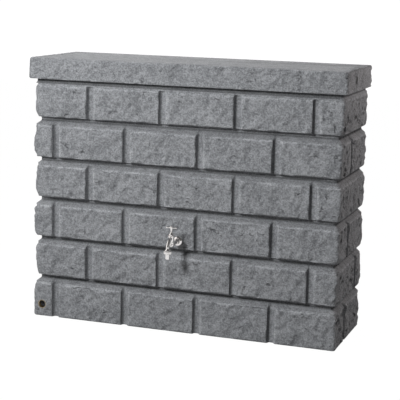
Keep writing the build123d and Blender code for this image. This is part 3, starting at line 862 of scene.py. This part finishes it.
def make_tank():
    """The hollow tank, with its bosses for the tap, drain and lid screws."""
    front_lines = [first + brick * BRICK_LENGTH
                   for first in FIRST_JOINT_X for brick in range(BRICKS_PER_COURSE)]
    edges = joint_edges(set(END_JOINT_Y.values())), joint_edges(front_lines)
    outer_rows = rows_along(tank_section(0.0), 3.0, FACE_STEP, JOINT_STEP)
    tank = wall_form("tank_wall", TANK_HALF, TANK_FRONT, TANK_BACK, outer_rows,
                     tank_dent(0.0, True), SIDE_STEP, BACK_STEP, shoulder_sink, edges)
    inner_rows = rows_along(tank_section(TANK_WALL), 3.0, INNER_FACE_STEP, INNER_JOINT_STEP)
    inner_rows = (inner_rows[0] - TANK_WALL, inner_rows[1])
    hollow = wall_form("hollow", TANK_HALF - TANK_WALL, TANK_FRONT + TANK_WALL, TANK_BACK - TANK_WALL,
                       inner_rows, tank_dent(0.0, False), INNER_SIDE_STEP, BACK_STEP)
    cut(tank, hollow, mouth(0.0, RIM_Z - 20.0, RIM_Z + 10.0))
    bosses = [
        rod(TAP_BOSS_RADIUS, -5.0, 29.0, (TAP_X, TANK_FRONT + 6.0, INLET_Z), "Y"),
        rod(DRAIN_BOSS_RADIUS, -5.0, 23.0, (DRAIN_X, TANK_FRONT + 6.0, DRAIN_Z), "Y"),
    ]
    screws = [(side * SCREW_X, SCREW_Y, 0.0) for side in (-1, 1)]
    bosses += [rod(SCREW_BOSS_RADIUS, RIM_Z - SCREW_BOSS_DEPTH, RIM_Z - 3.0, screw) for screw in screws]
    join(tank, *bosses)
    holes = [
        rod(TAP_BUSH_RADIUS, -20.0, 27.0, (TAP_X, TANK_FRONT, INLET_Z), "Y"),
        rod(TAP_THREAD_RADIUS, 20.0, 60.0, (TAP_X, TANK_FRONT, INLET_Z), "Y"),
        rod(DRAIN_BUSH_RADIUS, -20.0, 60.0, (DRAIN_X, TANK_FRONT, DRAIN_Z), "Y"),
        rod(FILLER_HOLE_RADIUS, -20.0, 40.0, (-TANK_HALF, FILLER_Y, FILLER_Z), "X"),
    ]
    holes += [rod(SCREW_BUSH_RADIUS, RIM_Z - 20.0, RIM_Z + 9.0, screw) for screw in screws]
    cut(tank, *holes)
    paint_tank(tank)
    finished(tank, "tank", "granite_plastic", ["tank_shell"], 48.0)


make_tank()


def lid_pit(y, z):
    """1 in the middle of a slanting patch on the lid's right end, where the stone is flatter and painted
    shade stands for a pit, and 0 away from it.
    """
    off_y, off_z = y - LID_PIT_Y, z - LID_PIT_Z
    across, along = off_y - LID_PIT_LEAN * off_z, off_z + LID_PIT_LEAN * off_y
    return np.exp(-(across / LID_PIT_HALF_WIDTH) ** 4 - (along / LID_PIT_HALF_HEIGHT) ** 4)


def lid_dent(side, x, y, run, z, bed):
    """How deep the lid's sides are pressed in, from the rough hewn stone."""
    upright = rise((9.0 - bed) / 8.0)
    margin = rise((z - LID_BOTTOM_Z) / 6.0)
    hewn = 2.0 + 0.9 * split_stone(run, z, 41)
    corner = np.abs(np.abs(x) - LID_HALF) + np.abs(y - LID_FRONT)
    worn = np.exp(-(corner / 16.0) ** 2) * rise((z - LID_TOP_Z + 50.0) / 45.0)
    pressed = hewn * (1 - 0.8 * np.exp(-(corner / 30.0) ** 2)) + worn * np.where(x > 0, 4.0, 1.0)
    pit = np.where(side == 2, lid_pit(y, z), 0.0)
    depth = bed + upright * margin * np.clip(pressed * (1 - 0.8 * pit), 0.0, 6.8)
    depth = np.where(side == 3, bed, depth)
    return depth, np.broadcast_to(bed, depth.shape)


def lid_sag(run, x, y, z, bed):
    """How far the lid's top drops below its highest level: rough along the border."""
    border = rise((bed - 3.0) / 6.0) * rise((LID_BORDER - bed) / 10.0)
    hewn = 0.6 + 1.6 * facets(run, bed, 17.0, 61, 9.0) + 0.8 * ripple(run, bed, 9.0, 62)
    return border * np.clip(hewn, 0.0, 2.5) * np.where(y < LID_BACK - 60.0, 1.0, 0.3)


def paint_lid(piece):
    """Marks the hewn sides and border and the plain field on top, and paints light on the top and right end
    and shade on the split, in a pit and inside.
    """
    x, y, z = point_places(piece)
    from_edge = np.minimum(LID_HALF - np.abs(x), np.minimum(y - LID_FRONT, LID_BACK - y))
    border = rise((LID_BORDER - from_edge) / 8.0)
    on_top = z > LID_FIELD_Z - 1.5
    on_end = (LID_HALF - np.abs(x) < LID_SKIRT) & (z < LID_TOP_Z - 4.0)
    outside = (from_edge < LID_SKIRT - 1.0) | on_top
    vigour = np.where(on_end, END_ROUGHNESS, 1.0)
    hewn = np.where(outside, np.where(from_edge < LID_SKIRT, vigour, 0.55 * border), 0.0)
    lean = LID_SPLIT_LEAN * (y - LID_FRONT) / (LID_BACK - LID_FRONT)
    split = rise((x - LID_HALF + 6.0 + lean) / 6.0)
    # Painted light on the top, and painted shade on the split at the right and inside the lid
    wear = np.where(outside, on_top * (TOP_LIGHT - SPLIT_SHADE * split), -INSIDE_SHADE)
    # Painted light on the right end, and painted shade in a pit there
    wear = wear + (x > 0) * on_end * (LID_END_LIGHT - LID_PIT_SHADE * lid_pit(y, z))
    paint_points(piece, hewn=hewn, wear=wear)


def make_lid():
    """The coping slab: a cup with a locating ring, ribs and screw pockets."""
    section = [
        (3.0, LID_BOTTOM_Z), (0.0, LID_BOTTOM_Z + 3.0), (0.0, LID_TOP_Z - 8.0), (1.6, LID_TOP_Z - 2.6),
        (6.0, LID_TOP_Z), (34.0, LID_TOP_Z), (42.0, LID_FIELD_Z), (46.0, LID_FIELD_Z),
    ]
    rows = rows_along(section, 1.8, LID_STEP, LID_EDGE_STEP)
    lid = wall_form("lid_slab", LID_HALF, LID_FRONT, LID_BACK, rows, lid_dent,
                    LID_STEP, LID_BACK_STEP, lid_sag)
    x_skirt = LID_HALF - LID_SKIRT
    y_skirt = LID_FRONT + LID_SKIRT
    y_back = LID_BACK - LID_BACK_SKIRT
    cut(lid, slab(-x_skirt, x_skirt, y_skirt, y_back, LID_BOTTOM_Z - 9.0, LID_ROOF_Z))
    root_z = LID_ROOF_Z + 1.5
    ring = mouth(LID_RING_GAP, LID_RING_BOTTOM_Z, root_z)
    cut(ring, mouth(LID_RING_GAP + LID_RING_WALL, LID_RING_BOTTOM_Z - 9.0, root_z + 9.0))
    inset = COLLAR_INSET + RIM_WIDTH + LID_RING_GAP + 1.0
    ribs = []
    for x in LID_RIB_X:
        ribs.append(slab(x - RIB_HALF, x + RIB_HALF, y_skirt - 1, TANK_FRONT + inset, RIM_Z, root_z))
        ribs.append(slab(x - RIB_HALF, x + RIB_HALF, TANK_BACK - inset, y_back + 1, RIM_Z, root_z))
    for side in (-1, 1):
        x0, x1 = sorted((side * (TANK_HALF - inset), side * (x_skirt + 1)))
        ribs += [slab(x0, x1, y - RIB_HALF, y + RIB_HALF, RIM_Z, root_z) for y in LID_RIB_Y]
        ribs.append(rod(10.0, RIM_Z, root_z, (side * SCREW_X, SCREW_Y, 0.0)))
    join(lid, ring, *ribs)
    for side in (-1, 1):
        centre = (side * SCREW_X, SCREW_Y, 0.0)
        pocket = rod(POCKET_RADIUS, POCKET_Z, LID_TOP_Z + 9.0, centre)
        cut(lid, pocket, rod(SHANK_HOLE_RADIUS, RIM_Z - 9.0, LID_TOP_Z, centre))
    paint_lid(lid)
    finished(lid, "lid", "granite_plastic", ["lid_shell"], 48.0)


make_lid()

# ---- tap

AXIS_OUTLET = (TAP_X, OUTLET_Y, 0.0)
AXIS_SPINDLE = (TAP_X, SPINDLE_Y, 0.0)
AXIS_INLET = (TAP_X, 0.0, INLET_Z)


def spout_line(end_z):
    """The spout's centre line, from the valve chamber forward and down to end_z."""
    corners = [(SPINDLE_Y, 364.0), (SPINDLE_Y - 19.0, 361.5), (OUTLET_Y, 343.0), (OUTLET_Y, end_z)]
    return smooth_line([(TAP_X, y, z) for y, z in corners])


def make_casting():
    """The tap's body: threaded inlet, round belly, barrel and curved spout."""
    front, back = ROSETTE_LOW[1], limits("tap_body")[1][1]
    belly = (TAP_X, BELLY_Y, INLET_Z)
    spout = spout_line(326.0)
    swell = np.interp(np.linspace(0, 1, len(spout)), (0, 0.25, 0.8, 1), (7.4, 6.6, 6.2, 6.4))
    parts = [
        turned("neck", eased([(7.5, front + 1), (9.3, front + 1), (9.3, front - 3), (7.5, front - 8),
                              (7.2, BELLY_Y + 8), (8.4, BELLY_Y)], 2.0, False), AXIS_INLET, "Y", False),
        ball(10.4, belly),
        rod(10.0, INLET_Z, 359.0, (TAP_X, BELLY_Y, 0.0)),
        turned("barrel", [(8.0, 350.0), (11.3, 354.0), (11.4, CASTING_TOP_Z)], AXIS_SPINDLE, "Z", False),
        pipe(spout, swell),
        turned("collar", [(6.0, 335.0), (7.2, 331.0), (10.9, 327.0), (11.0, OUTLET_Z)],
               AXIS_OUTLET, "Z", False),
    ]
    casting = fused("tap_casting", parts, 0.5, 10)
    thread = [(5.0, front - 2.0), (9.3, front - 2.0)]
    for k in range(int((back - front) / PIPE_PITCH)):
        thread += [(9.55, front + PIPE_PITCH * (k + 0.25)), (8.6, front + PIPE_PITCH * (k + 0.75))]
    thread += [(8.2, back), (5.0, back)]
    join(casting, turned("thread", thread, AXIS_INLET, "Y", False))
    cut(
        casting,
        rod(4.8, BELLY_Y, back + 5.0, AXIS_INLET, "Y"),
        rod(FLOW_RADIUS, INLET_Z - 2.0, 360.0, AXIS_SPINDLE),
        rod(8.05, 357.0, 380.0, AXIS_SPINDLE),
        pipe(spout_line(310.0), FLOW_RADIUS),
        rod(30.0, CASTING_TOP_Z, 390.0, AXIS_SPINDLE),
        rod(30.0, 300.0, OUTLET_Z, AXIS_OUTLET),
    )
    finished(casting, "tank", "chrome", ["tap_body"], 40.0)


def make_rosette():
    wall, front = ROSETTE_HIGH[1], ROSETTE_LOW[1]
    dome = [(17.5, wall), (17.5, wall - 1.6), (16.0, wall - 3.4), (13.6, wall - 4.9), (11.6, front),
            (9.7, front), (9.7, wall - 2.0), (13.2, wall - 2.0), (13.2, wall)]
    rosette = turned("tap_cover_plate", eased(dome, 0.7), AXIS_INLET, "Y")
    finished(rosette, "tank", "chrome", ["tap_rosette"])


def make_bonnet():
    """Headwork with its hexagon, cone and threaded skirt."""
    skirt = limits("tap_bonnet")[0][2] + VALVE_STOP_GAP
    top = limits("tap_bonnet")[1][2]
    hex_z = CASTING_TOP_Z + 0.8
    bonnet = hexagon(22.0, hex_z, 378.4, AXIS_SPINDLE)
    crown = [(9.7, hex_z - 0.1), (11.2, hex_z + 0.8), (11.2, hex_z + 2.5), (9.4, hex_z + 3.9)]
    combine(bonnet, "INTERSECT", [turned("crown", crown, AXIS_SPINDLE, "Z", False)])
    cone = [(9.0, 377.6), (8.9, 378.6), (7.6, 380.6), (6.2, 382.6), (5.6, top), (4.0, top)]
    thread = [(7.0, skirt)]
    for k in range(6):
        thread += [(7.4, skirt + 0.4 + 1.2 * k), (8.0, skirt + 1.0 + 1.2 * k)]
    thread += [(7.9, hex_z + 0.5), (7.0, hex_z + 1.0)]
    join(bonnet, turned("cone", cone, AXIS_SPINDLE, "Z", False),
         turned("thread", thread, AXIS_SPINDLE, "Z", False))
    cut(bonnet, rod(4.56, skirt - 2, 377.0, AXIS_SPINDLE),
        rod(STEM_HOLE_RADIUS, 376.0, top + 2, AXIS_SPINDLE), rod(4.2, 378.5, top + 2, AXIS_SPINDLE))
    bonnet.name = "tap_headwork"
    finished(bonnet, "tank", "chrome", ["tap_bonnet"], 30.0)


def make_gland_nut():
    low, high = limits("gland_nut")
    outline = [(STEM_HOLE_RADIUS, low[2]), (4.15, low[2]), (4.15, 384.0), (4.9, 384.0), (4.9, 386.2),
               (3.9, high[2]), (STEM_HOLE_RADIUS, high[2])]
    nut = turned("packing_nut", eased(outline, 0.45), AXIS_SPINDLE, "Z", ribs=(6, 0.5, 4.5))
    finished(nut, "tank", "chrome", ["gland_nut"])


def make_handle():
    """Hub, cross bar and cap screw, which turn with the spindle."""
    low, high = limits("handle_hub")
    bar_low, bar_high = limits("tee_bar")
    bar_z = middle("tee_bar")[2]
    outline = [(3.4, low[2]), (3.7, low[2] + 2.0), (4.5, 399.0), (4.6, 400.0), (4.6, high[2] - 1.4),
               (3.6, high[2])]
    hub = turned("handle_boss", eased(outline, 0.6, False), AXIS_SPINDLE, "Z", False)
    cut(hub, rod(2.6, low[2] - 2, 399.0, AXIS_SPINDLE), rod(3.0, -30.0, 30.0, (TAP_X, SPINDLE_Y, bar_z), "X"))
    finished(hub, "tap_handle", "chrome", ["handle_hub"])
    reach = (bar_high[0] - bar_low[0]) / 2 - BAR_TRIM
    half_bar = [(0.6, reach), (1.9, reach - 0.35), (2.75, reach - 1.5), (3.0, reach - 3.2),
                (2.75, reach - 5.2), (2.55, reach - 8.0), (2.6, 7.0), (3.0, 5.0)]
    outline = half_bar + [(r, -d) for r, d in reversed(half_bar)]
    bar = turned("handle_bar", eased(outline, 0.8, False), (TAP_X, SPINDLE_Y, bar_z), "X", False)
    finished(bar, "tap_handle", "chrome", ["tee_bar"])
    cap_low, cap_high = limits("handle_screw")
    lift = cap_high[2] - cap_low[2]
    dome = [(lift * math.cos(a), cap_low[2] + lift * math.sin(a)) for a in np.linspace(0.0, 1.45, 9)]
    cap = turned("cap_screw", [(2.8, cap_low[2])] + dome, AXIS_SPINDLE, "Z", False)
    cut(cap, slab(TAP_X - 5.0, TAP_X + 5.0, SPINDLE_Y - 0.45, SPINDLE_Y + 0.45,
                  cap_high[2] - 0.9, cap_high[2] + 2))
    finished(cap, "tap_handle", "chrome", ["handle_screw"])


def make_hose_union():
    """Ribbed ring nut and the tail it holds."""
    low, high = limits("hose_union_nut")
    outline = [(8.35, low[2]), (13.0, low[2]), (14.0, low[2] + 1.4), (14.0, high[2] - 2.6),
               (12.9, high[2] - 1.2), (11.05, high[2]), (11.05, low[2] + 2.0), (8.35, low[2] + 2.0)]
    nut = turned("hose_ring_nut", eased(outline, 0.6), AXIS_OUTLET, "Z", steps=216, ribs=(30, 1.0, 12.95))
    finished(nut, "tank", "chrome", ["hose_union_nut"])
    low, high = limits("hose_tail")
    neck_z, lip_z = 312.5, high[2] - 2.0
    outline = [(5.5, low[2]), (8.0, low[2]), (8.8, low[2] + 1.2), (8.8, neck_z), (8.3, neck_z), (8.3, lip_z),
               (10.8, lip_z), (10.8, high[2]), (5.5, high[2])]
    tail = turned("hose_spigot", eased(outline, 0.5), AXIS_OUTLET, "Z")
    finished(tail, "tank", "chrome", ["hose_tail"])


def make_drain():
    """Threaded bush and its deep-set socket plug."""
    bore_radius, depth = 13.25, 0.55
    front, back = DRAIN_LOW[1], DRAIN_HIGH[1]
    axis = (DRAIN_X, 0.0, DRAIN_Z)
    seat = limits("drain_plug_seal")[1][1]
    bore = [(14.4, front), (13.3, front + 1.3)]
    while bore[-1][1] + PIPE_PITCH < seat - 0.5:
        at = bore[-1][1]
        bore += [(bore_radius + depth, at + 0.5 * PIPE_PITCH), (bore_radius, at + PIPE_PITCH)]
    outline = [(9.0, back), (DRAIN_BUSH_RADIUS, back), (DRAIN_BUSH_RADIUS, front + 0.7), (15.9, front)]
    outline += bore + [(bore_radius, seat), (9.0, seat)]
    bush = turned("drain_bush", outline, axis, "Y")
    finished(bush, "tank", "brass", ["drain_insert"], 30.0)
    low, high = limits("drain_plug")
    outline = [(4.0, low[1]), (11.9, low[1]), (13.1, low[1] + 1.2), (13.1, high[1]), (4.0, high[1])]
    plug = turned("drain_socket_plug", eased(outline, 0.5, False), axis, "Y", False)
    cut(plug, hexagon(12.0, low[1] - 2.0, low[1] + 6.5, axis, "Y"))
    finished(plug, "drain_plug", "plug_plastic", ["drain_plug"], 30.0)


def make_filler_ring():
    outer, wall = FILLER_LOW[0], -TANK_HALF
    outline = [(16.0, outer + 0.8), (17.2, outer), (24.6, outer), (26.0, outer + 1.6), (26.0, wall),
               (20.0, wall), (20.0, wall + 4.6), (24.0, wall + 4.6), (23.0, wall + 7.4), (17.4, wall + 7.6),
               (16.0, wall + 6.6)]
    ring = turned("filler_ring", eased(outline, 0.7), (0.0, FILLER_Y, FILLER_Z), "X")
    finished(ring, "tank", "rubber", ["filler_grommet"])


make_casting()
make_rosette()
make_bonnet()
make_gland_nut()
make_handle()
make_hose_union()
make_drain()
make_filler_ring()

# Nodes whose shape is right keep it, and get their finish from the record's slot.
for entry in frame["record"]["subparts"]:
    kept = nodes[entry["node"]]
    for holder in kept.material_slots:
        holder.material = FINISHES[entry["material_slot"]]

# ---- studio

CAMERA_AZIMUTH = 19.56
CAMERA_ELEVATION = 9.89
CAMERA_DISTANCE = 4.607
CAMERA_ROLL = 1.26
AIM_HEIGHT = 0.5
AMBIENT = 0.10


def make_camera():
    lens = bpy.data.cameras.new("camera")
    lens.sensor_width = 36.0
    lens.lens = 111.2
    lens.shift_x = 0.0058
    lens.shift_y = -0.0250
    camera = bpy.data.objects.new("camera", lens)
    azimuth, elevation = math.radians(CAMERA_AZIMUTH), math.radians(CAMERA_ELEVATION)
    back = Vector((math.sin(azimuth) * math.cos(elevation), -math.cos(azimuth) * math.cos(elevation),
                   math.sin(elevation)))
    camera.location = back * CAMERA_DISTANCE + Vector((0, 0, AIM_HEIGHT))
    roll = Matrix.Rotation(math.radians(CAMERA_ROLL), 4, "Z")
    camera.rotation_euler = ((-back).to_track_quat("-Z", "Y").to_matrix().to_4x4() @ roll).to_euler()
    bpy.context.scene.collection.objects.link(camera)
    bpy.context.scene.camera = camera


def make_light(name, direction, distance, size, power, colour):
    """A soft square light, aimed at the tank's middle, which metal doesn't mirror."""
    lamp = bpy.data.lights.new(name, "AREA")
    lamp.size = size
    lamp.energy = power
    lamp.color = colour
    light = bpy.data.objects.new(name, lamp)
    way = Vector(direction).normalized()
    light.location = way * distance + Vector((0, 0, AIM_HEIGHT))
    light.rotation_euler = (-way).to_track_quat("-Z", "Y").to_euler()
    light.visible_glossy = False
    bpy.context.scene.collection.objects.link(light)


def make_surroundings():
    """A white backdrop to look at, a dim even light, and bright panels for metal to mirror."""
    world = bpy.data.worlds.new("studio")
    bpy.context.scene.world = world
    world.use_nodes = True
    graph = Graph(world.node_tree)
    seen = graph.node("ShaderNodeLightPath", output="Is Camera Ray")
    mirrored = graph.node("ShaderNodeLightPath", output="Is Glossy Ray")
    way = graph.node("ShaderNodeTexCoord", output="Generated")
    to_right = graph.node("ShaderNodeSeparateXYZ", None, {0: way}, output="X")
    upward = graph.node("ShaderNodeSeparateXYZ", None, {0: way}, output="Z")
    left = 1 - graph.step(to_right, -0.60, -0.38)
    low = (1 - graph.step(to_right, 0.12, 0.45)) * (1 - graph.step(upward, 0.02, 0.16))
    panels = 0.10 + 1.1 * left * (1 - graph.step(upward, 0.75, 0.95)) + 0.9 * low * (1 - left)
    panels = panels + 0.35 * graph.step(to_right, 0.86, 0.97) * (1 - graph.step(upward, 0.35, 0.6))
    dim = AMBIENT + mirrored * (panels - AMBIENT)
    colour = graph.mix(seen, (1.0, 0.975, 0.955, 1), (1, 1, 1, 1))
    strength = dim + seen * (1.05 - dim)
    light = graph.node("ShaderNodeBackground", None, {"Color": colour, "Strength": strength})
    graph.fill(world.node_tree.nodes["World Output"], {"Surface": light})


def make_floor():
    """A pale floor that shows nearly white and throws little light back up."""
    floor = new_object("floor", [(-9000, -9000, 0), (9000, -9000, 0), (9000, 9000, 0), (-9000, 9000, 0)],
                       [(0, 1, 2, 3)])
    paint = Finish("white_floor")
    paint.coat(Base_Color=(0.25, 0.25, 0.25, 1), Roughness=0.9, Specular_IOR_Level=0.0)
    seen = paint.node("ShaderNodeLightPath", output="Is Camera Ray")
    mirrored = paint.node("ShaderNodeLightPath", output="Is Glossy Ray")
    glow = paint.node("ShaderNodeEmission", None, {"Strength": 1.03})
    matt = Wire(paint, paint.shader.outputs[0])
    both = paint.node("ShaderNodeMixShader", None, {0: 0.97 * seen + 0.75 * mirrored, 1: matt, 2: glow})
    paint.fill(paint.tree.nodes["Material Output"], {"Surface": both})
    floor.data.materials.append(paint.material)


make_camera()
make_light("key", (-29, -110, 58), 3.0, 0.42, 83.0, (0.98, 0.985, 0.99))
make_light("top", (-32, 34, 100), 2.6, 0.9, 52.0, (1.0, 0.985, 0.965))
make_light("left", (-100, -52, 45), 2.4, 0.6, 11.0, (1.0, 1.0, 1.0))
make_light("right", (100, 30, 60), 2.1, 0.5, 15.0, (1.0, 0.92, 0.895))
make_surroundings()
make_floor()
bpy.context.scene.view_settings.view_transform = "Standard"
